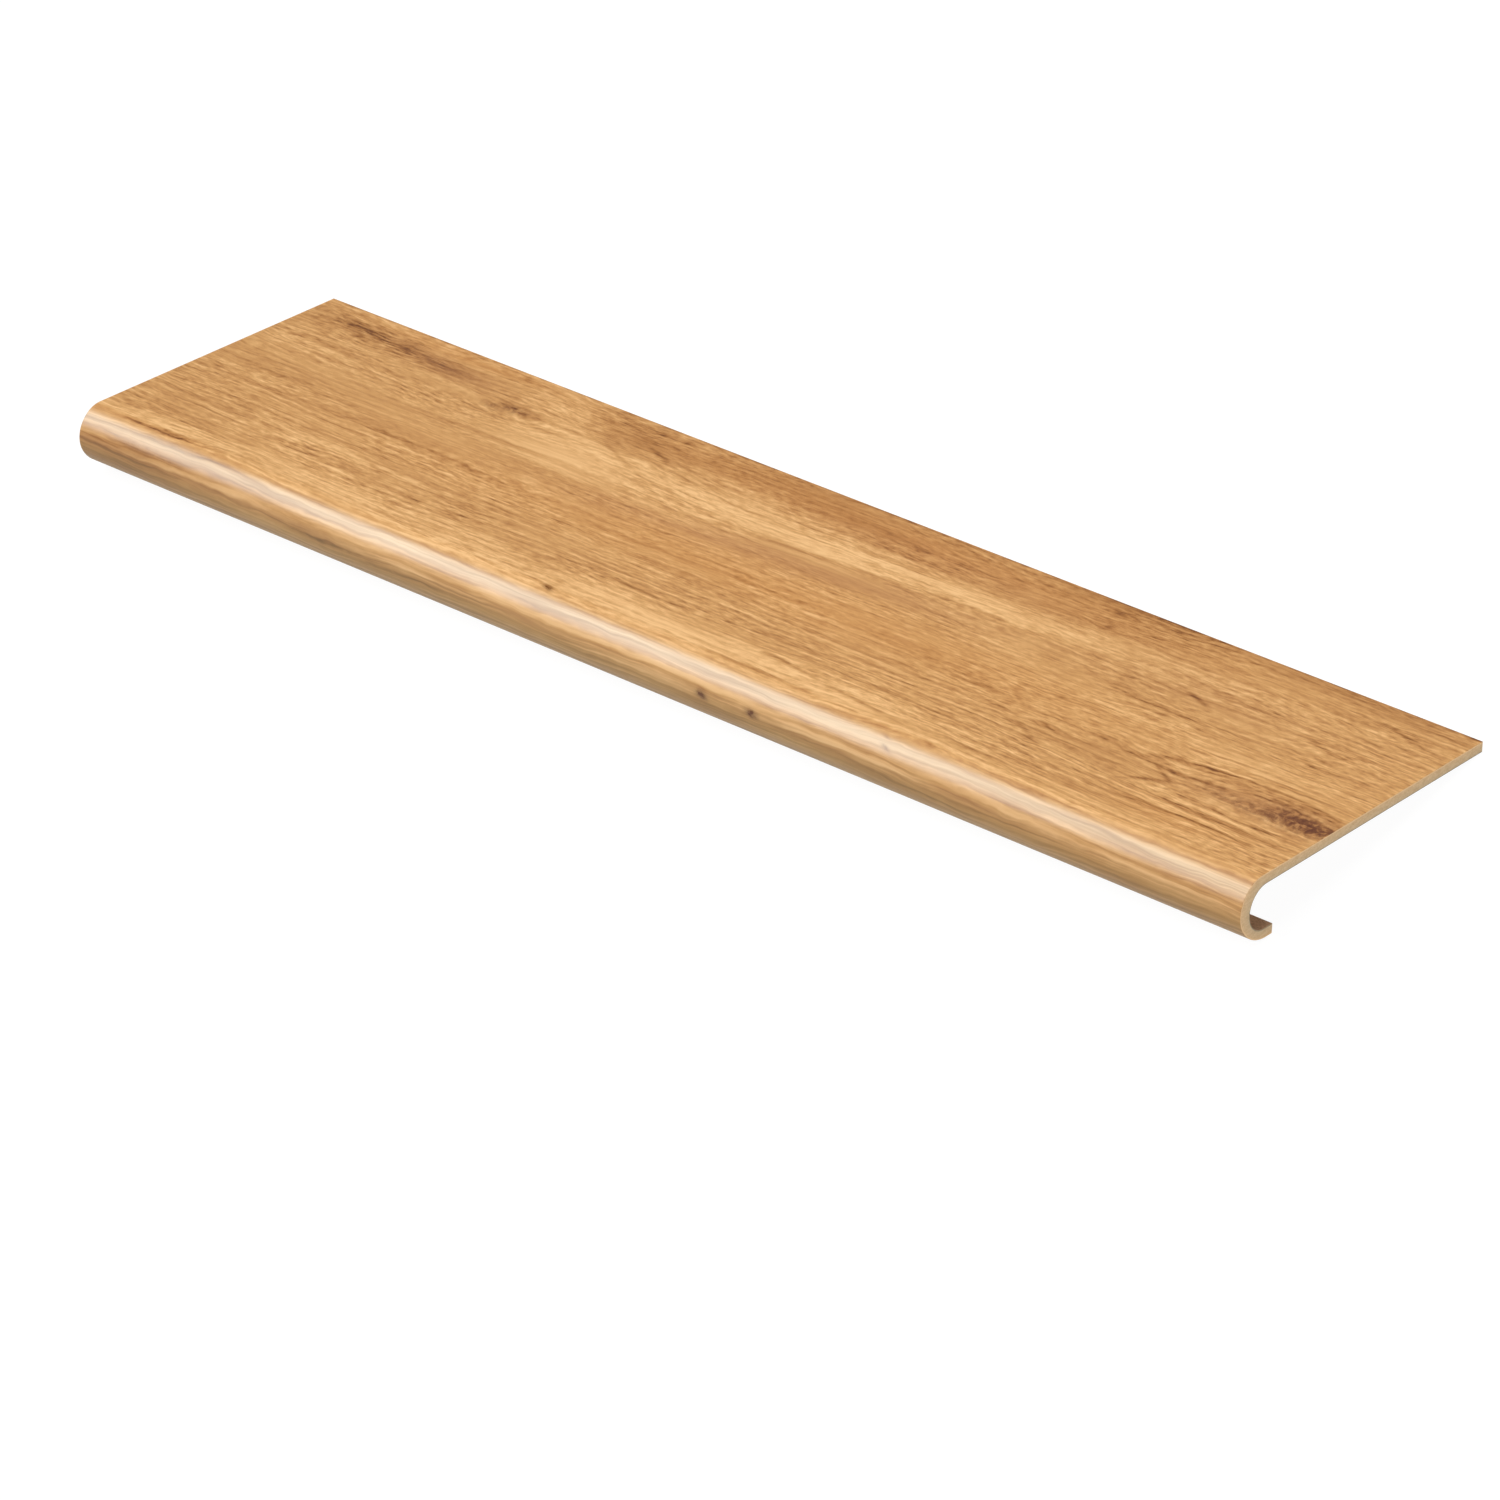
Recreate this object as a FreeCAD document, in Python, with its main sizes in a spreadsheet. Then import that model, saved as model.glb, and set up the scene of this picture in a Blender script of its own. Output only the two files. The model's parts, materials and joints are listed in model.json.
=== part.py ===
import FreeCAD, Part
import math
import os
import Sketcher

# Stair tread: one laminated board, sawn square at its back and ends, whose front is rounded
# over and drawn back underneath into a short lip, so that it hooks over the nosing of an old step.
# The section is drawn level, with the heel of the lip (its lower back corner) at the origin.
# The finished tread lies as it does unheld on a floor, walking face up: it rests on the
# heel of the lip and on the lower corner of its back edge, tilted back between them.

# Driving dimensions in millimetres
SIZES = {
    "tread_length": 1193.8,
    "tread_depth": 308.0,
    "nose_height": 55.6,
    # How much deeper the nose is than a half round of its upper radius
    "nose_drop": 5.6,
    # How far the foot of the nose lies behind the centre of its upper round
    "foot_set_back": 9.5,
    # Wall at the very front of the nose
    "nose_wall": 12.0,
    "board_thickness": 9.0,
    "lip_thickness": 8.5,
    "lip_flat": 7.5,
}

# Expressions that follow the driving dimensions
NOSE_RADIUS = "((Sizes.nose_height - Sizes.nose_drop) / 2)"
CHANNEL_RADIUS = "((Sizes.nose_height - Sizes.board_thickness - Sizes.lip_thickness) / 2)"
CHANNEL_SET_BACK = f"(Sizes.nose_wall + {CHANNEL_RADIUS} - {NOSE_RADIUS})"
NOSE_TO_BACK = f"(Sizes.tread_depth - {NOSE_RADIUS})"
NOSE_TO_HEEL = "(Sizes.foot_set_back + Sizes.lip_flat)"
HEEL_TO_BACK = f"({NOSE_TO_BACK} - {NOSE_TO_HEEL})"
NOSE_CENTRE_HEIGHT = f"(Sizes.nose_height - {NOSE_RADIUS})"
UNDERSIDE_HEIGHT = "(Sizes.nose_height - Sizes.board_thickness)"
TILT = f"atan({UNDERSIDE_HEIGHT} / {HEEL_TO_BACK})"
FRONT_REACH = f"({NOSE_CENTRE_HEIGHT} * sin({TILT}) - {NOSE_TO_HEEL} * cos({TILT}) - {NOSE_RADIUS})"
BACK_REACH = f"({HEEL_TO_BACK} * cos({TILT}) + Sizes.nose_height * sin({TILT}))"

# Places on a sketch curve, and the sketch's own origin
START, END, CENTRE = 1, 2, 3
SKETCH_ORIGIN = -1


def make_sheet(doc):
    """Spreadsheet with a row for each driving dimension."""
    sheet = doc.addObject("Spreadsheet::Sheet", "Sizes")
    for row, (alias, value) in enumerate(SIZES.items(), start=1):
        sheet.set(f"A{row}", alias)
        sheet.set(f"B{row}", str(value))
        sheet.setAlias(f"B{row}", alias)
    doc.recompute()


def section_curves():
    """Lines and arcs round the section, in order, starting at the heel of the lip."""
    height = SIZES["nose_height"]
    drop = SIZES["nose_drop"]
    set_back = SIZES["foot_set_back"]
    lip = SIZES["lip_thickness"]
    underside = height - SIZES["board_thickness"]

    # The upper round touches the walking face, the lower one touches it and the lip's bottom
    upper = (height - drop) / 2
    lower = height / 2 + set_back**2 / (2 * drop)
    foot = -SIZES["lip_flat"]
    nose = foot - set_back
    meeting = math.pi + math.atan2(upper + lower - height, set_back)

    # The channel's half round lies one wall behind the front of the nose
    channel = (underside - lip) / 2
    bend = nose - upper + SIZES["nose_wall"] + channel
    back = nose - upper + SIZES["tread_depth"]

    def line(y_from, z_from, y_to, z_to):
        return Part.LineSegment(FreeCAD.Vector(y_from, z_from), FreeCAD.Vector(y_to, z_to))

    def arc(y, z, radius, turn_from, turn_to):
        circle = Part.Circle(FreeCAD.Vector(y, z), FreeCAD.Vector(0, 0, 1), radius)
        return Part.ArcOfCircle(circle, turn_from, turn_to)

    top, bottom = math.pi / 2, 1.5 * math.pi
    return {
        "lip_bottom": line(0, 0, foot, 0),
        "nose_under": arc(foot, lower, lower, meeting, bottom),
        "nose_over": arc(nose, height - upper, upper, top, meeting),
        "walking_face": line(nose, height, back, height),
        "back_edge": line(back, height, back, underside),
        "underside": line(back, underside, bend, underside),
        "channel": arc(bend, lip + channel, channel, top, bottom),
        "lip_top": line(bend, lip, 0, lip),
        "lip_end": line(0, lip, 0, 0),
    }


def draw_section(body):
    """Sketch of the J-shaped section across the tread, held by eight dimensions."""
    plane = next(f for f in body.Origin.OriginFeatures if f.Role == "YZ_Plane")
    sketch = body.newObject("Sketcher::SketchObject", "Section")
    sketch.AttachmentSupport = [(plane, "")]
    sketch.MapMode = "FlatFace"
    at = {name: sketch.addGeometry(curve, False) for name, curve in section_curves().items()}

    def hold(kind, *where):
        return sketch.addConstraint(Sketcher.Constraint(kind, *where))

    # Corners, and edges square to the walking face
    hold("Coincident", at["lip_bottom"], START, SKETCH_ORIGIN, START)
    hold("Coincident", at["walking_face"], END, at["back_edge"], START)
    hold("Coincident", at["back_edge"], END, at["underside"], START)
    hold("Coincident", at["lip_top"], END, at["lip_end"], START)
    hold("Coincident", at["lip_end"], END, at["lip_bottom"], START)
    for name in ("lip_bottom", "walking_face", "underside", "lip_top"):
        hold("Horizontal", at[name])
    for name in ("back_edge", "lip_end"):
        hold("Vertical", at[name])

    # A nose that runs smoothly from the walking face to the lip, outside and inside
    hold("Tangent", at["walking_face"], START, at["nose_over"], START)
    hold("Tangent", at["nose_over"], END, at["nose_under"], START)
    hold("Tangent", at["nose_under"], END, at["lip_bottom"], END)
    hold("Tangent", at["underside"], END, at["channel"], START)
    hold("Tangent", at["channel"], END, at["lip_top"], START)

    # Dimensions that follow the spreadsheet
    def dimension(name, expression, kind, *where):
        index = hold(kind, *where, sketch.evalExpression(expression))
        sketch.renameConstraint(index, name)
        sketch.setExpression(f"Constraints.{name}", expression)

    over, under, channel = at["nose_over"], at["nose_under"], at["channel"]
    lip, end, back = at["lip_bottom"], at["lip_end"], at["back_edge"]
    dimension("nose_height", "Sizes.nose_height", "DistanceY", under, END, over, START)
    dimension("nose_radius", NOSE_RADIUS, "Radius", over)
    dimension("nose_to_back", NOSE_TO_BACK, "DistanceX", over, CENTRE, back, START)
    dimension("foot_set_back", "Sizes.foot_set_back", "DistanceX", over, CENTRE, under, CENTRE)
    dimension("lip_flat", "Sizes.lip_flat", "DistanceX", lip, END, lip, START)
    dimension("board_thickness", "Sizes.board_thickness", "DistanceY", back, END, back, START)
    dimension("lip_thickness", "Sizes.lip_thickness", "DistanceY", end, END, end, START)
    dimension("channel_set_back", CHANNEL_SET_BACK, "DistanceX", over, CENTRE, channel, CENTRE)
    return sketch


def make_tread(doc):
    """The board: its section drawn out along the length, evenly to both sides of the origin."""
    body = doc.addObject("PartDesign::Body", "Tread")
    body.Label = "stair_tread"
    board = body.newObject("PartDesign::Pad", "Board")
    board.Profile = draw_section(body)
    board.SideType = "Symmetric"
    board.setExpression("Length", "Sizes.tread_length")
    return body


def lay_on_floor(body):
    """Tilt the board back about its heel on to its back edge, and centre it over the origin."""
    along_the_length = FreeCAD.Vector(1, 0, 0)
    body.Placement = FreeCAD.Placement(FreeCAD.Vector(), FreeCAD.Rotation(along_the_length, -1))
    body.setExpression("Placement.Rotation.Angle", f"-{TILT}")
    body.setExpression("Placement.Base.y", f"-({FRONT_REACH} + {BACK_REACH}) / 2")


def check(doc, bodies):
    """Stop before anything is written if a feature has failed or a shape is not sound."""
    for item in doc.Objects:
        if {"Invalid", "Error"} & set(item.State):
            raise RuntimeError(f"{item.Label} failed: {item.State}")
    for body in bodies:
        if body.Shape.isNull() or not body.Shape.isValid():
            raise RuntimeError(f"{body.Label} has no sound shape")


doc = FreeCAD.newDocument("StairTread")
make_sheet(doc)
tread = make_tread(doc)
lay_on_floor(tread)
doc.recompute()
check(doc, [tread])

os.makedirs("parts", exist_ok=True)
tread.Shape.exportStep(f"parts/{tread.Label}.step")
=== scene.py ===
import json
import math

import bpy
import numpy as np
from mathutils import Matrix, Vector


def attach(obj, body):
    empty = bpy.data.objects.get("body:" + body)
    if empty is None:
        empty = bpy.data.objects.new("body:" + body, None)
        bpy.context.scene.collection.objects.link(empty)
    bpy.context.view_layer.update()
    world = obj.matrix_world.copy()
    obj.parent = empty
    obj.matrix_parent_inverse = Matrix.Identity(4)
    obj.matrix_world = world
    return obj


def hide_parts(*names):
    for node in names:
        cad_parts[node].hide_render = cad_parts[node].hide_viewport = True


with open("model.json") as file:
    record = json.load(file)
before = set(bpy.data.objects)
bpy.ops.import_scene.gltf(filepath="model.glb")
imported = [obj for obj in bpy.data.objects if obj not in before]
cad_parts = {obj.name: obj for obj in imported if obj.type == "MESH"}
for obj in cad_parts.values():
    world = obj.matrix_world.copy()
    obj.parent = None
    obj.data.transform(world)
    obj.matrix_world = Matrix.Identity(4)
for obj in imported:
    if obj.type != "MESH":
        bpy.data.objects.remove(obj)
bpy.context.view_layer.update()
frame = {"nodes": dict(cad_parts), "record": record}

# The tread's own level axes, read from its mounts:
# along the length, to the back edge and up from the walking face
mounts = {mount["name"]: mount for mount in frame["record"]["mounts"]}
ALONG = Vector((1, 0, 0))
TO_BACK = Vector(mounts["back_edge"]["axis"]).normalized()
FACE_UP = -Vector(mounts["underside"]["axis"]).normalized()

# The tread's sizes in metres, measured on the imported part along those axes
corners = np.array([v.co for v in frame["nodes"]["stair_tread"].data.vertices])
along, depth, height = (corners @ np.array(axis) for axis in (ALONG, TO_BACK, FACE_UP))
HAIR = 0.00005
LENGTH = float(along.max() - along.min())
NOSE_HEIGHT = float(height.max() - height.min())
BOARD_THICKNESS = 2 * (float(height.max()) - Vector(mounts["back_edge"]["pos_m"]).dot(FACE_UP))

# Level frame: its origin is the middle of the upper back edge
back_edge_top = TO_BACK * float(depth.max()) + FACE_UP * float(height.max())
LEVEL = Matrix.Translation(back_edge_top) @ Matrix((ALONG, TO_BACK, FACE_UP)).transposed().to_4x4()

# Where the nose begins on the walking face, and where its foot and the heel of the lip are underneath
NOSE = float(depth[height > height.max() - HAIR].min() - depth.max())
FOOT = float(depth[height < height.min() + HAIR].min() - depth.max())
HEEL = float(depth[height < height.min() + HAIR].max() - depth.max())

# The nose's upper and lower rounds, and the half round of the channel inside it
NOSE_DROP = 0.0056
UPPER_RADIUS = (NOSE_HEIGHT - NOSE_DROP) / 2
LOWER_RADIUS = NOSE_HEIGHT / 2 + (FOOT - NOSE) ** 2 / (2 * NOSE_DROP)
CHANNEL = LEVEL.inverted() @ Vector(mounts["nose_channel"]["pos_m"])
CHANNEL_RADIUS = -CHANNEL.z - BOARD_THICKNESS
DEPTH = UPPER_RADIUS - NOSE

# Thickness of the printed film with its glue line, and of the backing paper
LAMINATE = 0.0011
BACKING = 0.0008

# Width of the eased edges, the angle that is eased and the angle that is shaded as sharp
EASED_EDGE = 0.00025
EASED_ANGLE = math.radians(60)
SHARP_ANGLE = math.radians(40)

# Camera in the level frame, fitted to the photograph's edges
CAMERA_AZIMUTH = math.radians(39.30)
CAMERA_ELEVATION = math.radians(28.085)
CAMERA_ROLL = math.radians(1.566)
CAMERA_DISTANCE = 5.473
CAMERA_ASIDE = -0.0998
CAMERA_RAISED = -0.1970
CAMERA_LENS = 162.43
SENSOR_WIDTH = 36.0
CLIP_END = 100.0

# Light all round, and the floor
WORLD_LIGHT = 0.05
FLOOR_REACH = 30.0
FLOOR_COLOUR = 0.27
FLOOR_SHADOW = 0.1
BACKDROP_WHITE = 1.05

# Millimetres in a metre
MILLIMETRES = 1000.0

# How far apart the patterns of two seeds lie in the noise
SEED_STEP = Vector((17.31, 29.73, 0))


def linear(red, green, blue):
    """Linear colour of an 8-bit display colour."""
    def brightness(value):
        share = value / 255
        return share / 12.92 if share <= 0.04045 else ((share + 0.055) / 1.055) ** 2.4

    return (brightness(red), brightness(green), brightness(blue), 1.0)


class Field:
    """A number that varies over a surface, as the output of a shader node."""

    def __init__(self, tree, socket):
        self.tree = tree
        self.socket = socket

    def math(self, operation, *others):
        """The field worked on with other fields or numbers."""
        node = self.tree.nodes.new("ShaderNodeMath")
        node.operation = operation
        for slot, value in zip(node.inputs, (self, *others)):
            plug(self.tree, slot, value)
        return Field(self.tree, node.outputs[0])

    def __add__(self, other):
        return self.math("ADD", other)

    def __sub__(self, other):
        return self.math("SUBTRACT", other)

    def __mul__(self, other):
        return self.math("MULTIPLY", other)

    def __neg__(self):
        return self.math("MULTIPLY", -1.0)

    def ramp(self, low, high):
        """Smooth step from 0 at low to 1 at high."""
        node = self.tree.nodes.new("ShaderNodeMapRange")
        node.interpolation_type = "SMOOTHSTEP"
        plug(self.tree, node.inputs["Value"], self)
        node.inputs["From Min"].default_value = low
        node.inputs["From Max"].default_value = high
        return Field(self.tree, node.outputs["Result"])


def plug(tree, slot, value):
    """Set a shader socket to a field, another socket or a plain value."""
    if isinstance(value, Field):
        tree.links.new(value.socket, slot)
    elif isinstance(value, bpy.types.NodeSocket):
        tree.links.new(value, slot)
    else:
        slot.default_value = value


def vector(x, y):
    """A place from its two distances."""
    node = x.tree.nodes.new("ShaderNodeCombineXYZ")
    for slot, value in zip(node.inputs, (x, y)):
        plug(x.tree, slot, value)
    return node.outputs[0]


def split(tree, place):
    """The numbers of a vector as fields."""
    node = tree.nodes.new("ShaderNodeSeparateXYZ")
    tree.links.new(place, node.inputs[0])
    return [Field(tree, output) for output in node.outputs]


def mapped(tree, name):
    """The two numbers of a UV map as fields."""
    node = tree.nodes.new("ShaderNodeUVMap")
    node.uv_map = name
    return split(tree, node.outputs["UV"])[:2]


def placed(tree):
    """Places on the board along the shared frame's axes, in millimetres."""
    place = tree.nodes.new("ShaderNodeTexCoord").outputs["Object"]
    return [field * MILLIMETRES for field in split(tree, place)]


def noise(place, size_s, size_t, seed, detail=2.0, roughness=0.5):
    """Cloudy noise from 0 to 1 with grains of the given size; each seed gives another pattern."""
    tree = place.node.id_data
    sized = tree.nodes.new("ShaderNodeMapping")
    plug(tree, sized.inputs["Vector"], place)
    sized.inputs["Location"].default_value = SEED_STEP * seed
    sized.inputs["Scale"].default_value = (1 / size_s, 1 / size_t, 1)
    node = tree.nodes.new("ShaderNodeTexNoise")
    node.noise_dimensions = "2D"
    tree.links.new(sized.outputs[0], node.inputs["Vector"])
    node.inputs["Scale"].default_value = 1.0
    node.inputs["Detail"].default_value = detail
    node.inputs["Roughness"].default_value = roughness
    return Field(tree, node.outputs[0])


def swing(place, *grains):
    """Cloudy noise about zero."""
    return noise(place, *grains) - 0.5


def blend(tree, share, first, second):
    """Colour that goes from first to second with the share."""
    node = tree.nodes.new("ShaderNodeMix")
    node.data_type = "RGBA"
    plug(tree, node.inputs["Factor"], share)
    plug(tree, node.inputs[6], first)
    plug(tree, node.inputs[7], second)
    return node.outputs[2]


def new_material(name):
    """A material with its nodes and its main shader."""
    material = bpy.data.materials.new(name)
    material.use_nodes = True
    shader = material.node_tree.nodes["Principled BSDF"]
    return material, material.node_tree, shader


def bump(tree, shader, height, strength, distance):
    """Fine relief on a surface."""
    node = tree.nodes.new("ShaderNodeBump")
    node.inputs["Strength"].default_value = strength
    node.inputs["Distance"].default_value = distance
    plug(tree, node.inputs["Height"], height)
    tree.links.new(node.outputs["Normal"], shader.inputs["Normal"])


# Soft zones of the wood print, with painted light and shade among them, each an oval in millimetres on the
# unrolled face:
# from the left end, from the back edge, reach along, reach across, slope, strength

# Where the print is darker or paler, and where shade and light are painted round the nose
TONE_AND_PAINTED_LIGHT_ZONES = [
    # Dark figure at the back left, and the knot beside it
    (78, 30, 56, 11, 0.06, -0.27),
    (165, 34, 46, 12, 0.08, -0.26),
    (120, 30, 120, 14, 0.04, -0.08),
    (258, 62, 26, 9, 0.05, -0.26),
    # Along the back edge
    (225, 12, 20, 7, 0.0, -0.12),
    (390, 24, 70, 20, 0.10, -0.13),
    (382, 30, 52, 15, 0.3, -0.13),
    (560, 26, 130, 26, 0.0, -0.12),
    (690, 36, 120, 26, 0.0, -0.15),
    (860, 28, 80, 26, -0.05, -0.15),
    (860, 10, 120, 14, 0.0, -0.13),
    (1100, 8, 140, 16, 0.0, -0.20),
    # Pale figure and the dark streak in front of it
    (292, 30, 30, 34, 0.0, 0.13),
    (338, 58, 42, 9, 0.5, 0.13),
    (350, 96, 66, 22, 0.05, 0.24),
    (530, 81, 150, 24, -0.03, 0.26),
    (760, 74, 140, 13, -0.03, 0.28),
    (600, 126, 190, 13, -0.09, -0.12),
    (835, 116, 44, 14, 0.1, 0.12),
    (950, 144, 60, 9, 0.0, 0.14),
    (1120, 150, 90, 16, 0.0, 0.09),
    # Round the right knot
    (1172, 200, 36, 12, 0.05, -0.26),
    (1115, 206, 50, 10, 0.05, -0.16),
    # Along the front, above the nose
    (127, 230, 60, 4, 0.0, 0.12),
    (293, 220, 22, 4, 0.0, 0.10),
    (60, 262, 70, 9, 0.0, 0.12),
    (250, 279, 260, 14, -0.02, 0.16),
    (650, 275, 260, 18, 0.0, 0.30),
    (1060, 284, 110, 10, 0.0, 0.10),
    # Round the nose: a darker streak of the print low at the left end
    (70, 322, 90, 13, -0.08, -0.2),
    # Painted shade under the highlight along the front of the nose, stronger at the left end
    (60, 302, 110, 9, 0.0, -0.14),
    (600, 302, 900, 6.5, 0.0, -0.08),
    # Painted light just below the highlight and at the bottom of the nose
    (600, 314.5, 900, 5.5, 0.0, 0.22),
    (600, 338, 900, 5, 0.0, 0.25),
]
# Where it is more orange
ORANGE_ZONES = [
    (160, 10, 110, 9, 0.0, 0.8),
    (640, 28, 300, 26, 0.0, 0.8),
    (620, 168, 320, 36, 0.0, 0.8),
    (1093, 257, 50, 16, 0.0, 0.5),
    (60, 328, 130, 14, 0.0, 0.9),
    (1090, 330, 160, 12, 0.0, 0.9),
]
# Where it is rosier
ROSY_ZONES = [
    (165, 35, 60, 14, 0.1, 0.5),
    (600, 126, 190, 15, -0.09, 0.7),
    (690, 39, 200, 22, 0.0, 0.3),
    (1000, 79, 90, 30, 0.0, 0.25),
    (1150, 202, 70, 18, 0.0, 0.6),
]
# Painted highlight: the print paler and greyer along the front of the nose
PAINTED_HIGHLIGHT_ZONES = [
    (600, 302, 1500, 6.5, 0.0, 0.85),
]
# Where the grain is quiet
SMOOTH_ZONES = [
    (170, 133, 170, 20, 0.0, 0.5),
    (345, 97, 60, 18, 0.0, 0.6),
    (620, 114, 190, 14, -0.05, 0.5),
    (600, 276, 190, 14, 0.0, 0.35),
]
# Where fine lines stand out
LINED_ZONES = [
    (600, 74, 220, 20, 0.0, 0.45),
    (1090, 165, 100, 30, 0.0, 0.30),
    (1090, 245, 110, 16, 0.0, 0.15),
]

# Thin dark growth lines and the pointed arches of the figure, in millimetres on the unrolled face:
# from the left end, from the back edge, half length, half width, slope, bend at the ends, strength
GROWTH_LINES = [
    # Round the pointed arches near the right end
    (987, 89, 24, 2.5, 0.42, 2.0, 1.3),
    (1004, 107, 9, 2.3, -0.55, 0.0, 0.8),
    (1036, 75, 44, 2.2, 0.0, 0.0, 0.8),
    (975, 122, 44, 2.3, 0.03, 0.0, 1.2),
    (1070, 119, 48, 2.2, -0.02, 0.0, 0.7),
    (1156, 120, 40, 2.2, -0.12, -5.0, 0.7),
    (1108, 91, 16, 2.9, 0.35, 2.0, 0.8),
    (1136, 91, 12, 2.6, -0.6, 0.0, 0.8),
    (1000, 192, 62, 2.3, 0.08, 3.0, 1.2),
    (1047, 207, 16, 2.3, 0.62, 1.0, 1.3),
    (1040, 222, 22, 2.5, -0.55, 2.0, 1.3),
    (1000, 232, 26, 2.5, -0.08, 0.0, 0.6),
    (930, 224, 20, 2.3, 0.56, 0.0, 0.8),
    (922, 149, 40, 2.0, 0.0, 0.0, 0.6),
    # At the back right corner
    (1160, 38, 36, 2.5, 0.31, 0.0, 0.7),
    # Round the right knot and in front of it
    (1112, 171, 76, 2.1, -0.03, 9.0, 1.6),
    (1150, 178, 50, 2.0, 0.03, 7.0, 1.3),
    (1148, 186, 44, 2.0, 0.05, 6.0, 1.1),
    (1145, 162, 60, 2.0, 0.06, 3.0, 1.1),
    (1118, 153, 60, 2.0, 0.02, 2.0, 0.8),
    (1130, 229, 62, 2.3, 0.03, -1.5, 0.9),
    (1090, 241, 70, 2.0, -0.02, 0.0, 0.5),
    (1095, 252, 100, 2.0, -0.05, 0.0, 0.8),
    (1095, 262, 100, 2.0, -0.05, 0.0, 0.6),
    (1040, 257, 40, 1.9, 0.0, 0.0, 0.5),
    # Sweeping down into the pale figure and along it
    (388, 71, 30, 2.3, 0.42, -1.0, 0.9),
    (436, 89, 42, 2.2, 0.20, -2.5, 0.9),
    (370, 52, 24, 2.0, 0.42, 0.0, 0.5),
    (480, 86, 40, 1.9, 0.05, 0.0, 0.6),
    (412, 47, 22, 2.6, 0.40, 0.0, 0.7),
    (602, 103, 40, 2.3, -0.08, 0.0, 1.1),
    (720, 93, 70, 2.2, -0.08, 0.0, 0.7),
    (530, 76, 90, 1.8, 0.02, 0.0, 0.5),
    (650, 68, 90, 1.8, 0.0, 0.0, 0.5),
    (575, 88, 16, 2.3, 0.0, 0.0, 0.5),
    # Between the pale figure and the front
    (205, 229, 36, 2.0, -0.08, 0.0, 0.7),
    (260, 214, 40, 2.0, -0.03, 0.0, 0.5),
    (350, 233, 40, 2.5, -0.05, 0.0, 0.6),
    (365, 208, 44, 2.0, -0.02, 0.0, 0.5),
    (500, 194, 110, 2.0, 0.0, 0.0, 0.6),
    (680, 232, 90, 2.0, 0.0, 0.0, 0.5),
    (700, 241, 100, 2.0, 0.01, 0.0, 0.5),
    (850, 226, 50, 2.2, 0.06, 0.0, 0.5),
    (250, 168, 50, 2.0, -0.04, 0.0, 0.5),
    # Along the front, above the nose
    (772, 267, 80, 2.3, 0.14, -1.0, 1.4),
    (706, 258, 14, 2.9, 0.20, 0.0, 0.7),
    (690, 283, 60, 2.2, -0.03, 3.0, 0.9),
    (800, 287, 60, 2.0, 0.03, 0.0, 0.6),
    (908, 272, 46, 2.0, 0.06, 0.0, 0.7),
    (490, 245, 130, 2.2, -0.04, 1.5, 0.9),
    (370, 272, 60, 2.0, -0.07, 0.0, 0.8),
    (640, 260, 60, 2.0, -0.04, 0.0, 0.6),
    (70, 290, 46, 2.5, -0.03, -1.0, 1.2),
    (56, 247, 46, 2.0, 0.0, 0.0, 0.6),
    (60, 256, 60, 2.0, 0.0, 0.0, 0.6),
    (66, 264, 70, 2.0, 0.01, 0.0, 0.7),
    (40, 272, 44, 2.0, 0.0, 0.0, 0.5),
    # Round the nose
    (115, 300, 50, 1.8, -0.10, 0.0, 0.6),
    (70, 313, 70, 2.0, -0.05, 0.0, 0.7),
    (330, 326, 130, 2.4, 0.0, 0.0, 0.9),
    (230, 333, 90, 2.2, -0.02, 0.0, 0.6),
    (560, 334, 140, 2.2, 0.0, 0.0, 0.5),
    (900, 330, 140, 2.4, 0.0, 0.0, 0.5),
]

# Small pin knots, as soft zones
PIN_KNOTS = [
    (500, 287, 6, 2.6, 0.25, 1.3),
    (677, 322, 5.5, 3.2, 0.15, 1.5),
    (727, 321, 5.5, 3.2, 0.15, 1.5),
    (855, 305, 5, 1.6, 0.3, 0.6),
    (852, 297, 5, 1.4, 0.2, 0.35),
]
# Knots that the grain runs round, their strength being how far it is pushed aside in millimetres
KNOTS = [
    (258, 62, 60, 26, 0.0, 14.0),
    (1170, 200, 95, 40, 0.0, 26.0),
]
# Heartwood of the knots, as soft zones
KNOT_HEARTS = [
    (262, 62, 11, 5.5, 0.1, 0.95),
    (244, 68, 11, 5, 0.2, 0.5),
    (1170, 200, 32, 12, 0.08, 1.5),
    (1120, 206, 40, 8, 0.10, 0.6),
    (75, 31, 34, 6.5, 0.12, 0.20),
    (165, 38, 34, 7, 0.12, 0.24),
]


def within(s, t, zone):
    """How far a place is along and across a zone from its middle, as shares of its reach."""
    middle_s, middle_t, reach_s, reach_t, slope = zone[:5]
    cos, sin = math.cos(math.atan(slope)), math.sin(math.atan(slope))
    start_along = -(middle_s * cos + middle_t * sin) / reach_s
    start_across = (middle_s * sin - middle_t * cos) / reach_t
    along_it = s.math("MULTIPLY_ADD", cos / reach_s, t.math("MULTIPLY_ADD", sin / reach_s, start_along))
    across_it = s.math("MULTIPLY_ADD", -sin / reach_t, t.math("MULTIPLY_ADD", cos / reach_t, start_across))
    return along_it, across_it


def fading(along_it, across_it):
    """Share that falls off from 1 in the middle of a zone."""
    return (-along_it.math("MULTIPLY_ADD", along_it, across_it * across_it)).math("EXPONENT")


def zones(s, t, listed):
    """Sum of soft oval zones."""
    total = None
    for zone in listed:
        share = fading(*within(s, t, zone))
        total = share * zone[-1] if total is None else share.math("MULTIPLY_ADD", zone[-1], total)
    return total


def growth_lines(s, t, listed):
    """Sum of thin lines, each of them straight or gently bent."""
    total = None
    for line in listed:
        along_it, across_it = within(s, t, line)
        bend, strength = line[5:]
        square = along_it * along_it
        bent = square.math("MULTIPLY_ADD", -bend / line[3], across_it)
        share = fading(square, bent)
        total = share * strength if total is None else share.math("MULTIPLY_ADD", strength, total)
    return total


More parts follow.
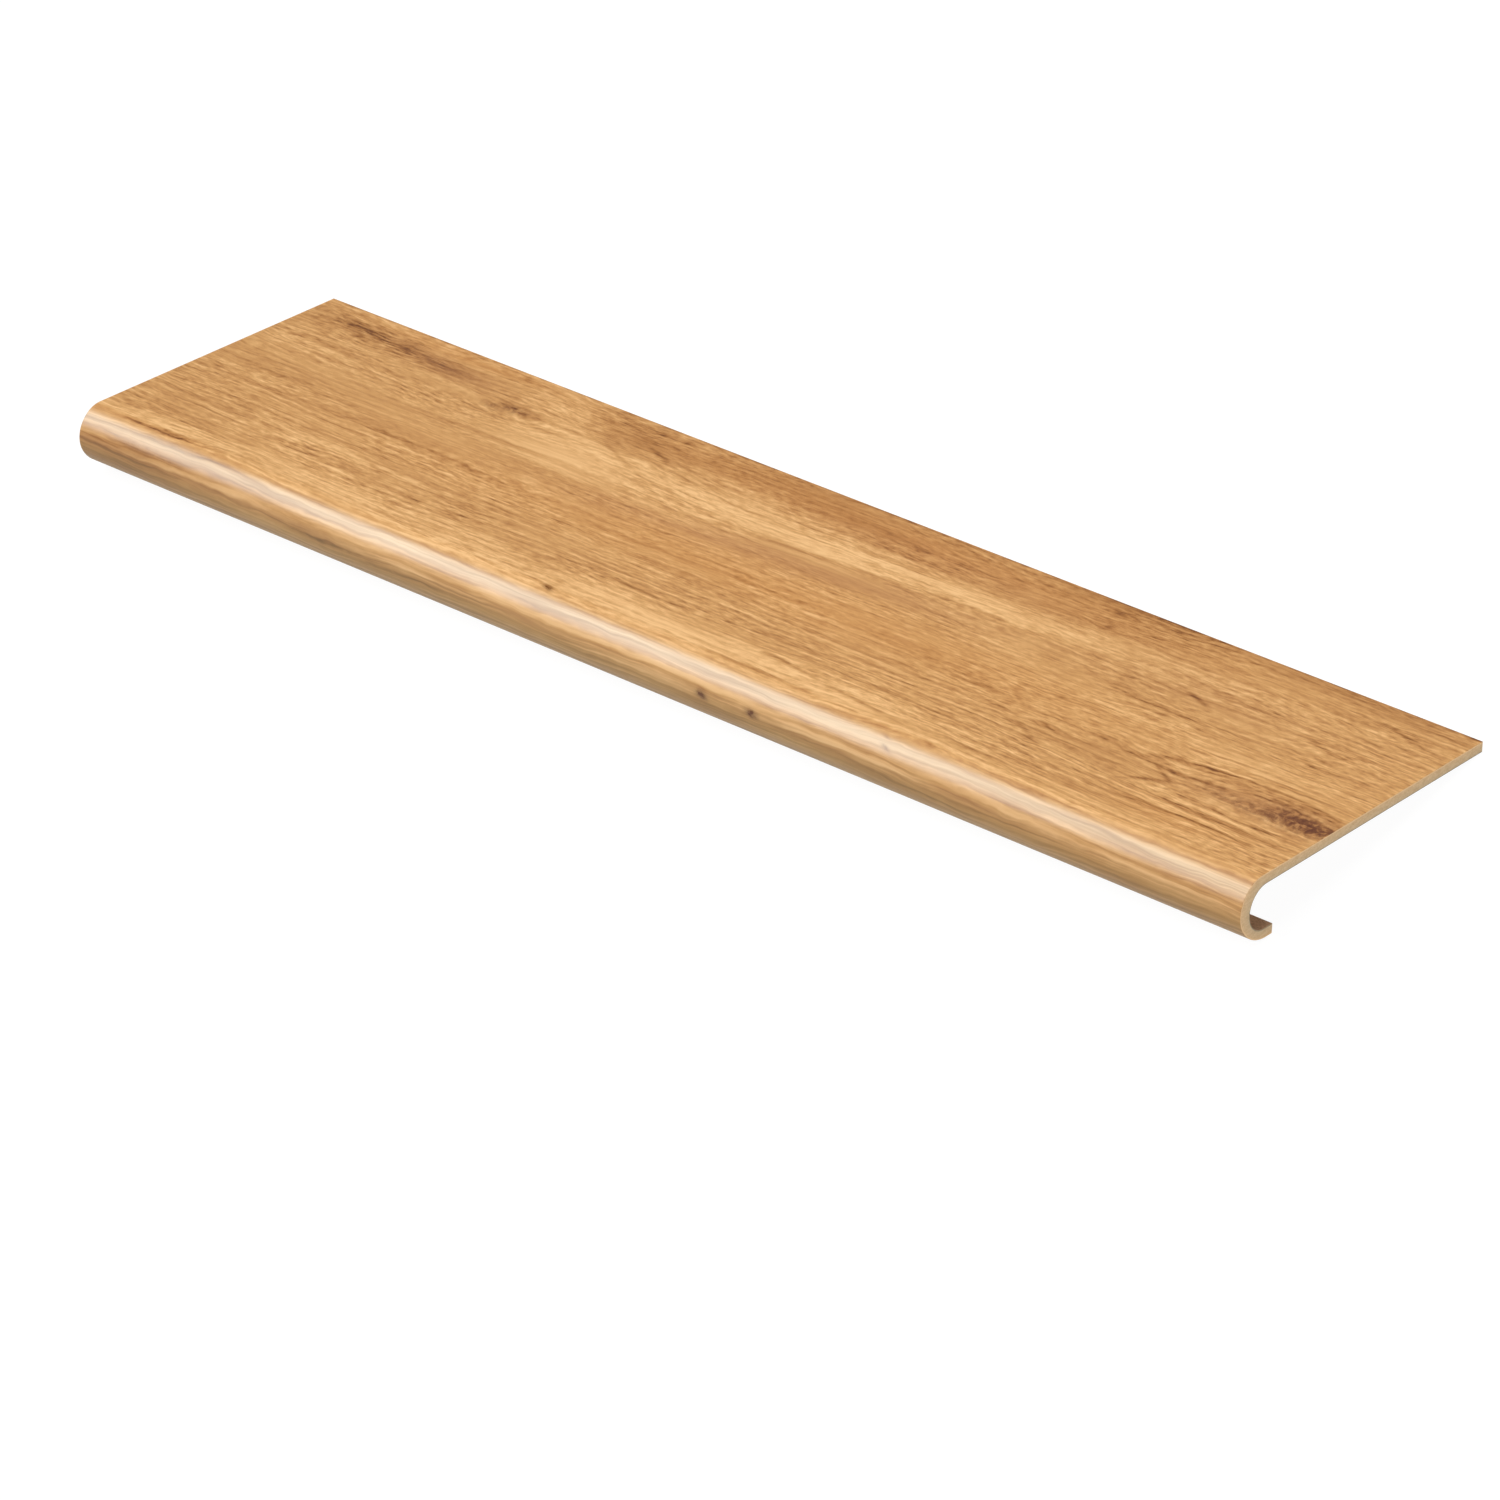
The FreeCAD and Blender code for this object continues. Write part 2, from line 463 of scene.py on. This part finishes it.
def grain_round_knots(s, t):
    """How far the grain is pushed aside by the knots, in millimetres."""
    total = None
    for knot in KNOTS:
        along_it, across_it = within(s, t, knot)
        push = fading(along_it, across_it) * across_it * -knot[-1]
        total = push if total is None else total + push
    return total


def tone_colours(tree, tone):
    """Oak colours from dark grain to pale sapwood."""
    node = tree.nodes.new("ShaderNodeValToRGB")
    stops = [
        (0.00, linear(118, 74, 42)),
        (0.14, linear(157, 106, 60)),
        (0.27, linear(180, 128, 76)),
        (0.40, linear(196, 144, 90)),
        (0.50, linear(205, 154, 97)),
        (0.60, linear(215, 165, 107)),
        (0.76, linear(231, 182, 124)),
        (0.92, linear(243, 196, 138)),
    ]
    ramp = node.color_ramp
    ramp.elements[0].position, ramp.elements[0].color = stops[0]
    ramp.elements[1].position, ramp.elements[1].color = stops[-1]
    for position, colour in stops[1:-1]:
        ramp.elements.new(position).color = colour
    plug(tree, node.inputs["Fac"], tone)
    return node.outputs["Color"]


# Noise of the wood print: size along and across in millimetres, seed, detail and roughness
WANDER = (260, 60, 1)
RIPPLE = (24, 8, 2, 1.0)
LOOSENESS = (110, 26, 3, 3.0)
STREAKS = (420, 9, 4, 4.0, 0.6)
LINES = (150, 3.8, 10)
DASHES = (24, 4.0, 5)
FINE_DASHES = (9, 2.5, 6)
LIVELINESS = (140, 34, 7)
PORES = (16, 1.8, 8)
BREAKS = (16, 10, 9)
SPECKS = (6, 3.0, 16, 3.0, 0.65)

# How far the noise moves the grain, in millimetres
WANDER_REACH = 20.0
RIPPLE_REACH = 3.0
LOOSE_REACH = 22.0

# Bands across the unrolled face, in millimetres from the back edge
BACK_RIM = (4, 0)
FRONT_HALF = (130, 220)
BENT_BAND = (284, 300)
LOWER_NOSE = (310, 324)
DULL_BAND = (312, 336)
# Golden band on the lower nose, partly print and partly painted shade
GOLDEN_BAND = (316, 330)

# Tone of the print between dark and pale, and the share of each pattern in it
MIDDLE_TONE = 0.51
STREAK_TONE = 0.50
DASH_TONE = 0.58
FINE_TONE = 0.56
PORE_TONE = 0.07
GROWTH_TONE = 0.24
HEART_TONE = 0.20
RIM_TONE = 0.22

# Tints of the print, and of the painted highlight along the nose
ORANGE = linear(202, 136, 70)
ROSY = linear(186, 132, 94)
# Golden of the lower nose, partly print and partly painted shade
GOLDEN = linear(205, 162, 72)
# Dark and light streaks of the painted highlight along the front of the nose
PAINTED_HIGHLIGHT_DARK = linear(174, 141, 96)
PAINTED_HIGHLIGHT_LIGHT = linear(208, 179, 136)
HEARTWOOD = linear(98, 57, 42)
PIN_KNOT = linear(106, 56, 4)

# Share of the tints where they are at their strongest
TINT_SHARE = 0.35
GOLDEN_SHARE = 0.3
HEART_SHARE = 0.55

# Sheen of the clear wear layer
WEAR_SPECULAR = 0.57
WEAR_ROUGHNESS = 0.33
DULLER_BY = 0.17


def laminate_print():
    """Printed oak under a clear wear layer, its grain along the length and wrapped round the nose, with a
    painted highlight, painted shade and painted light round the nose.
    """
    material, tree, shader = new_material("laminate_print")
    s, t = (field * MILLIMETRES for field in mapped(tree, "unrolled"))
    face = vector(s, t)

    # Grain that wanders along the board, round its knots, with a ripple
    wander = swing(face, *WANDER) * WANDER_REACH
    ripple = swing(face, *RIPPLE) * RIPPLE_REACH
    grain = vector(s, t + wander + ripple + grain_round_knots(s, t))
    loose_t = t + ripple * 2.0 + swing(face, *LOOSENESS) * LOOSE_REACH
    rippled_t = t + ripple * 0.8

    # Broad streaks, then thin lines and ever shorter dashes along the grain, quieter on the nose
    streaks = swing(grain, *STREAKS)
    lines = swing(grain, *LINES)
    dashes = swing(grain, *DASHES)
    fine = swing(grain, *FINE_DASHES)
    on_nose = t.ramp(*BENT_BAND)
    lively = noise(face, *LIVELINESS).ramp(0.25, 0.7) * 0.7 + 0.6 - zones(s, t, SMOOTH_ZONES)
    lively = lively * (on_nose * -0.7 + 1.0)
    lined = t.ramp(*FRONT_HALF) * 0.35 + zones(s, t, LINED_ZONES) + on_nose * 0.25 + 0.40
    lined = lined + t.ramp(*LOWER_NOSE) * 0.40
    texture = streaks * STREAK_TONE + lines * lined + (dashes * DASH_TONE + fine * FINE_TONE) * lively
    # The print's tone zones, with painted shade and painted light round the nose
    tone = zones(s, loose_t, TONE_AND_PAINTED_LIGHT_ZONES) + texture + MIDDLE_TONE

    # Pores as thin dark dashes, growth lines that break up here and there, and knots
    pores = noise(grain, *PORES).ramp(0.58, 0.74)
    unbroken = noise(face, *BREAKS).ramp(0.05, 0.45)
    growth = growth_lines(s, rippled_t, GROWTH_LINES) * unbroken
    tone = tone - pores * lively * PORE_TONE - growth * GROWTH_TONE
    specks = noise(grain, *SPECKS).ramp(0.70, 0.30)
    heart = zones(s, rippled_t, KNOT_HEARTS) * (specks * 1.1 + 0.15)
    tone = tone - heart * HEART_TONE - t.ramp(*BACK_RIM) * RIM_TONE

    # Oak colours of the tone, tinted in places, with a painted highlight along the front of the nose
    colour = tone_colours(tree, tone)
    colour = blend(tree, zones(s, loose_t, ORANGE_ZONES) * TINT_SHARE, colour, ORANGE)
    colour = blend(tree, zones(s, loose_t, ROSY_ZONES) * TINT_SHARE, colour, ROSY)
    # Painted highlight, streaked along the grain, blended in along the front of the nose
    painted_highlight = blend(tree, lines * 3.0 + 0.5, PAINTED_HIGHLIGHT_DARK, PAINTED_HIGHLIGHT_LIGHT)
    colour = blend(tree, zones(s, rippled_t, PAINTED_HIGHLIGHT_ZONES), colour, painted_highlight)
    # Golden on the lower nose, partly print and partly painted shade
    colour = blend(tree, t.ramp(*GOLDEN_BAND) * GOLDEN_SHARE, colour, GOLDEN)
    colour = blend(tree, heart * HEART_SHARE, colour, HEARTWOOD)
    pin_knots = zones(s, rippled_t, PIN_KNOTS) * (specks * 0.5 + 0.5)
    colour = blend(tree, pin_knots, colour, PIN_KNOT)
    tree.links.new(colour, shader.inputs["Base Color"])

    # A satin sheen, duller underneath the nose
    shader.inputs["Specular IOR Level"].default_value = WEAR_SPECULAR
    plug(tree, shader.inputs["Roughness"], t.ramp(*DULL_BAND) * DULLER_BY + WEAR_ROUGHNESS)
    bump(tree, shader, fine - pores * 0.6, strength=0.12, distance=0.0002)
    return material


# Noise of the plain materials: size along and up in millimetres, seed, detail and roughness
EDGE_MOTTLE = (1.5, 1.5, 11, 3.0)
FIBRES = (1.6, 0.4, 12, 4.0, 0.65)
CLUMPS = (6.0, 2.5, 13, 3.0)
PAPER_CLOUDS = (40, 25, 14, 5.0, 0.6)
PAPER_FLECKS = (2.5, 1.2, 15, 3.0)

# Roughness of the plain materials
EDGE_ROUGHNESS = 0.55
FIBREBOARD_ROUGHNESS = 0.85
PAPER_ROUGHNESS = 0.7


def section_place(tree):
    """Millimetres along and up a sawn face, for fine patterns that need no unrolling."""
    x, y, z = placed(tree)
    return vector(x + y, z)


def cut_edge(name, dark, light):
    """Cut edge of a thin layer, a mottled line along the sawn faces."""
    material, tree, shader = new_material(name)
    mottle = noise(section_place(tree), *EDGE_MOTTLE)
    tree.links.new(blend(tree, mottle, dark, light), shader.inputs["Base Color"])
    shader.inputs["Roughness"].default_value = EDGE_ROUGHNESS
    return material


def fibreboard():
    """Sawn fibreboard: fine pressed fibres in clumps, greyer towards the back of the board."""
    material, tree, shader = new_material("fibreboard")
    through = mapped(tree, "sawn")[1]
    place = section_place(tree)
    fibres = noise(place, *FIBRES)
    clumps = noise(place, *CLUMPS)
    tone = (fibres * 0.6 + clumps * 0.4).ramp(0.25, 0.75)
    near_face = blend(tree, tone, linear(206, 168, 122), linear(234, 200, 156))
    near_back = blend(tree, tone, linear(194, 166, 128), linear(218, 194, 158))
    colour = blend(tree, through.ramp(0.1, 1.0), near_face, near_back)
    tree.links.new(colour, shader.inputs["Base Color"])
    shader.inputs["Roughness"].default_value = FIBREBOARD_ROUGHNESS
    bump(tree, shader, fibres, strength=0.5, distance=0.0003)
    return material


def backing_paper():
    """Brown balancing paper on the underside and inside the hook."""
    material, tree, shader = new_material("backing_paper")
    x, y, _ = placed(tree)
    place = vector(x, y)
    mottle = noise(place, *PAPER_CLOUDS) * 0.6 + noise(place, *PAPER_FLECKS) * 0.4
    colour = blend(tree, mottle.ramp(0.3, 0.7), linear(156, 117, 88), linear(220, 176, 136))
    tree.links.new(colour, shader.inputs["Base Color"])
    shader.inputs["Roughness"].default_value = PAPER_ROUGHNESS
    bump(tree, shader, mottle, strength=0.3, distance=0.0003)
    return material


# Material slots of the board
PRINT, PRINT_EDGE, CORE, BACK, BACK_EDGE = range(5)


def section_path():
    """Points along the section from the heel of the lip to the back edge.

    Each is (outer depth, outer height, inner depth, inner height, depth inwards, height inwards,
    distance to the back edge over the outer face).
    """
    flat_steps, bend_steps, face_steps = 4, 72, 40
    lip_top = CHANNEL.z - CHANNEL_RADIUS
    points = []
    for i in range(flat_steps):
        share = i / flat_steps
        outer_y = HEEL + (FOOT - HEEL) * share
        inner_y = HEEL + (CHANNEL.y - HEEL) * share
        points.append((outer_y, -NOSE_HEIGHT, inner_y, lip_top, 0, 1))
    meeting = math.atan2(FOOT - NOSE, UPPER_RADIUS + LOWER_RADIUS - NOSE_HEIGHT)
    for i in range(bend_steps):
        turn = math.pi * i / bend_steps
        in_y, in_z = math.sin(turn), math.cos(turn)
        if turn < meeting:
            y, z, radius = FOOT, LOWER_RADIUS - NOSE_HEIGHT, LOWER_RADIUS
        else:
            y, z, radius = NOSE, -UPPER_RADIUS, UPPER_RADIUS
        inner = (CHANNEL.y - CHANNEL_RADIUS * in_y, CHANNEL.z - CHANNEL_RADIUS * in_z)
        points.append((y - radius * in_y, z - radius * in_z, *inner, in_y, in_z))
    for i in range(face_steps + 1):
        share = 1 - i / face_steps
        points.append((NOSE * share, 0, CHANNEL.y * share, -BOARD_THICKNESS, 0, -1))
    run = [0.0]
    for here, there in zip(reversed(points[:-1]), reversed(points[1:])):
        run.append(run[-1] + math.dist(here[:2], there[:2]))
    return [(*point, distance) for point, distance in zip(points, reversed(run))]


def make_board(materials):
    """The board as one closed mesh: its section in layers, drawn out along the length."""
    path = section_path()
    # Each layer as a share of the way through the board, and a distance further in
    layers = [(0, 0), (0, LAMINATE), (0.35, 0), (0.65, 0), (1, -BACKING), (1, 0)]
    length_steps = 48
    stations = [LENGTH * (k / length_steps - 0.5) for k in range(length_steps + 1)]
    last_i, last_j, last_k = len(path) - 1, len(layers) - 1, length_steps
    vertices, places, faces, slots, maps, sawn_maps = [], {}, [], [], [], []

    def vertex(i, j, k):
        key = (i, j, k)
        if key not in places:
            outer_y, outer_z, inner_y, inner_z, in_y, in_z, _ = path[i]
            share, further = layers[j]
            y = outer_y + (inner_y - outer_y) * share + in_y * further
            z = outer_z + (inner_z - outer_z) * share + in_z * further
            places[key] = len(vertices)
            vertices.append((stations[k], y, z))
        return places[key]

    def face(ring, slot):
        faces.append([vertex(*corner) for corner in ring])
        slots.append(slot)
        maps.extend((stations[k] + LENGTH / 2, path[i][-1]) for i, j, k in ring)
        sawn_maps.extend((path[i][-1], j / last_j) for i, j, k in ring)

    def layer_slot(j):
        if j == 0:
            return PRINT_EDGE
        return BACK_EDGE if j == last_j - 1 else CORE

    for i in range(last_i):
        for k in range(last_k):
            face([(i, 0, k), (i + 1, 0, k), (i + 1, 0, k + 1), (i, 0, k + 1)], PRINT)
            face([(i, last_j, k), (i, last_j, k + 1), (i + 1, last_j, k + 1), (i + 1, last_j, k)], BACK)
        for j in range(last_j):
            slot = layer_slot(j)
            face([(i, j, 0), (i, j + 1, 0), (i + 1, j + 1, 0), (i + 1, j, 0)], slot)
            face([(i, j, last_k), (i + 1, j, last_k), (i + 1, j + 1, last_k), (i, j + 1, last_k)], slot)
    for j in range(last_j):
        slot = layer_slot(j)
        for k in range(last_k):
            face([(0, j, k), (0, j, k + 1), (0, j + 1, k + 1), (0, j + 1, k)], slot)
            face([(last_i, j, k), (last_i, j + 1, k), (last_i, j + 1, k + 1), (last_i, j, k + 1)], slot)

    mesh = bpy.data.meshes.new("stair_tread_board")
    mesh.from_pydata(vertices, [], faces)
    mesh.polygons.foreach_set("material_index", slots)
    unrolled = mesh.uv_layers.new(name="unrolled")
    unrolled.data.foreach_set("uv", [value for pair in maps for value in pair])
    sawn = mesh.uv_layers.new(name="sawn")
    sawn.data.foreach_set("uv", [value for pair in sawn_maps for value in pair])
    for material in materials:
        mesh.materials.append(material)
    mesh.transform(LEVEL)
    mesh.shade_smooth()
    mesh.set_sharp_from_angle(angle=SHARP_ANGLE)
    board = bpy.data.objects.new("stair_tread_board", mesh)
    bpy.context.scene.collection.objects.link(board)
    eased = board.modifiers.new("eased_edges", "BEVEL")
    eased.width = EASED_EDGE
    eased.segments = 2
    eased.limit_method = "ANGLE"
    eased.angle_limit = EASED_ANGLE
    eased.harden_normals = True
    return board


def make_floor():
    """Plain pale floor, white to the camera apart from the tread's shadow."""
    mesh = bpy.data.meshes.new("floor")
    far, near = FLOOR_REACH, -FLOOR_REACH
    mesh.from_pydata([(near, near, 0), (far, near, 0), (far, far, 0), (near, far, 0)], [], [(0, 1, 2, 3)])
    material = bpy.data.materials.new("floor")
    material.use_nodes = True
    tree = material.node_tree
    tree.nodes.remove(tree.nodes["Principled BSDF"])
    lit = tree.nodes.new("ShaderNodeBsdfDiffuse")
    lit.inputs["Color"].default_value = (FLOOR_COLOUR, FLOOR_COLOUR, FLOOR_COLOUR, 1)
    shaded = tree.nodes.new("ShaderNodeBsdfDiffuse")
    shaded.inputs["Color"].default_value = (FLOOR_SHADOW, FLOOR_SHADOW, FLOOR_SHADOW, 1)
    white = tree.nodes.new("ShaderNodeEmission")
    white.inputs["Strength"].default_value = BACKDROP_WHITE - FLOOR_SHADOW
    backdrop = tree.nodes.new("ShaderNodeAddShader")
    tree.links.new(shaded.outputs[0], backdrop.inputs[0])
    tree.links.new(white.outputs[0], backdrop.inputs[1])
    path = tree.nodes.new("ShaderNodeLightPath")
    seen = Field(tree, path.outputs["Is Camera Ray"]).math("MAXIMUM", path.outputs["Is Glossy Ray"])
    seen = seen.math("MAXIMUM", path.outputs["Is Transmission Ray"])
    mixed = tree.nodes.new("ShaderNodeMixShader")
    plug(tree, mixed.inputs["Fac"], seen)
    tree.links.new(lit.outputs[0], mixed.inputs[1])
    tree.links.new(backdrop.outputs[0], mixed.inputs[2])
    tree.links.new(mixed.outputs[0], tree.nodes["Material Output"].inputs["Surface"])
    mesh.materials.append(material)
    floor = bpy.data.objects.new("floor", mesh)
    bpy.context.scene.collection.objects.link(floor)


def make_softbox(name, direction, lean, distance, width, tall, power, mirrored=True):
    """Soft rectangular lamp.

    Its direction from the tread and the lean of its tall side are in the level frame.
    A lamp that is not mirrored lights the tread but makes no glare on the print.
    """
    lamp = bpy.data.lights.new(name, "AREA")
    lamp.shape = "RECTANGLE"
    lamp.size = width
    lamp.size_y = tall
    lamp.energy = power
    softbox = bpy.data.objects.new(name, lamp)
    out = Vector(direction).normalized()
    side = Vector(lean).cross(out).normalized()
    turn = Matrix((side, out.cross(side), out)).transposed().to_4x4()
    middle = Vector((0, -DEPTH / 2, 0))
    softbox.matrix_world = LEVEL @ Matrix.Translation(middle + out * distance) @ turn
    softbox.visible_camera = False
    softbox.visible_glossy = mirrored
    bpy.context.scene.collection.objects.link(softbox)


def make_world():
    """Even soft light all round."""
    world = bpy.data.worlds.new("studio")
    world.use_nodes = True
    light = world.node_tree.nodes["Background"]
    light.inputs["Color"].default_value = (1, 1, 1, 1)
    light.inputs["Strength"].default_value = WORLD_LIGHT
    bpy.context.scene.world = world


def make_camera():
    """Camera at the photograph's place, given in the level frame."""
    a, e, r = CAMERA_AZIMUTH, CAMERA_ELEVATION, CAMERA_ROLL
    back = Vector((math.sin(a) * math.cos(e), -math.cos(a) * math.cos(e), math.sin(e)))
    right = Vector((math.cos(a), math.sin(a), 0))
    up = back.cross(right)
    turned_right = right * math.cos(r) + up * math.sin(r)
    turned_up = up * math.cos(r) - right * math.sin(r)
    place = turned_right * CAMERA_ASIDE + turned_up * CAMERA_RAISED + back * CAMERA_DISTANCE
    turn = Matrix((turned_right, turned_up, back)).transposed().to_4x4()
    lens = bpy.data.cameras.new("camera")
    lens.lens = CAMERA_LENS
    lens.sensor_width = SENSOR_WIDTH
    lens.clip_end = CLIP_END
    camera = bpy.data.objects.new("camera", lens)
    camera.matrix_world = LEVEL @ Matrix.Translation(place) @ turn
    bpy.context.scene.collection.objects.link(camera)
    bpy.context.scene.camera = camera


laminate_edge = cut_edge("laminate_edge", linear(222, 180, 130), linear(240, 204, 156))
backing_edge = cut_edge("backing_edge", linear(132, 116, 90), linear(164, 146, 116))
board = make_board([laminate_print(), laminate_edge, fibreboard(), backing_paper(), backing_edge])
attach(board, "root")
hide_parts("stair_tread")

make_floor()
make_world()
make_softbox(
    "front_left_softbox",
    direction=(-0.595, -0.500, 0.630),
    lean=(0, 0.775, 0.63),
    distance=12.0,
    width=3.3,
    tall=10.6,
    power=1340.0,
)
make_softbox(
    "overhead_softbox",
    direction=(0.0, -0.08, 1.0),
    lean=(0, 1, 0),
    distance=4.0,
    width=2.5,
    tall=2.5,
    power=76.0,
)
make_softbox(
    "right_softbox",
    direction=(1.0, -0.15, 0.2),
    lean=(0, 0, 1),
    distance=3.5,
    width=3.0,
    tall=2.0,
    power=64.0,
    mirrored=False,
)
make_softbox(
    "back_softbox",
    direction=(0.45, 0.87, 0.22),
    lean=(0, 0, 1),
    distance=4.0,
    width=3.0,
    tall=2.0,
    power=40.0,
    mirrored=False,
)
make_camera()
bpy.context.scene.view_settings.view_transform = "Standard"
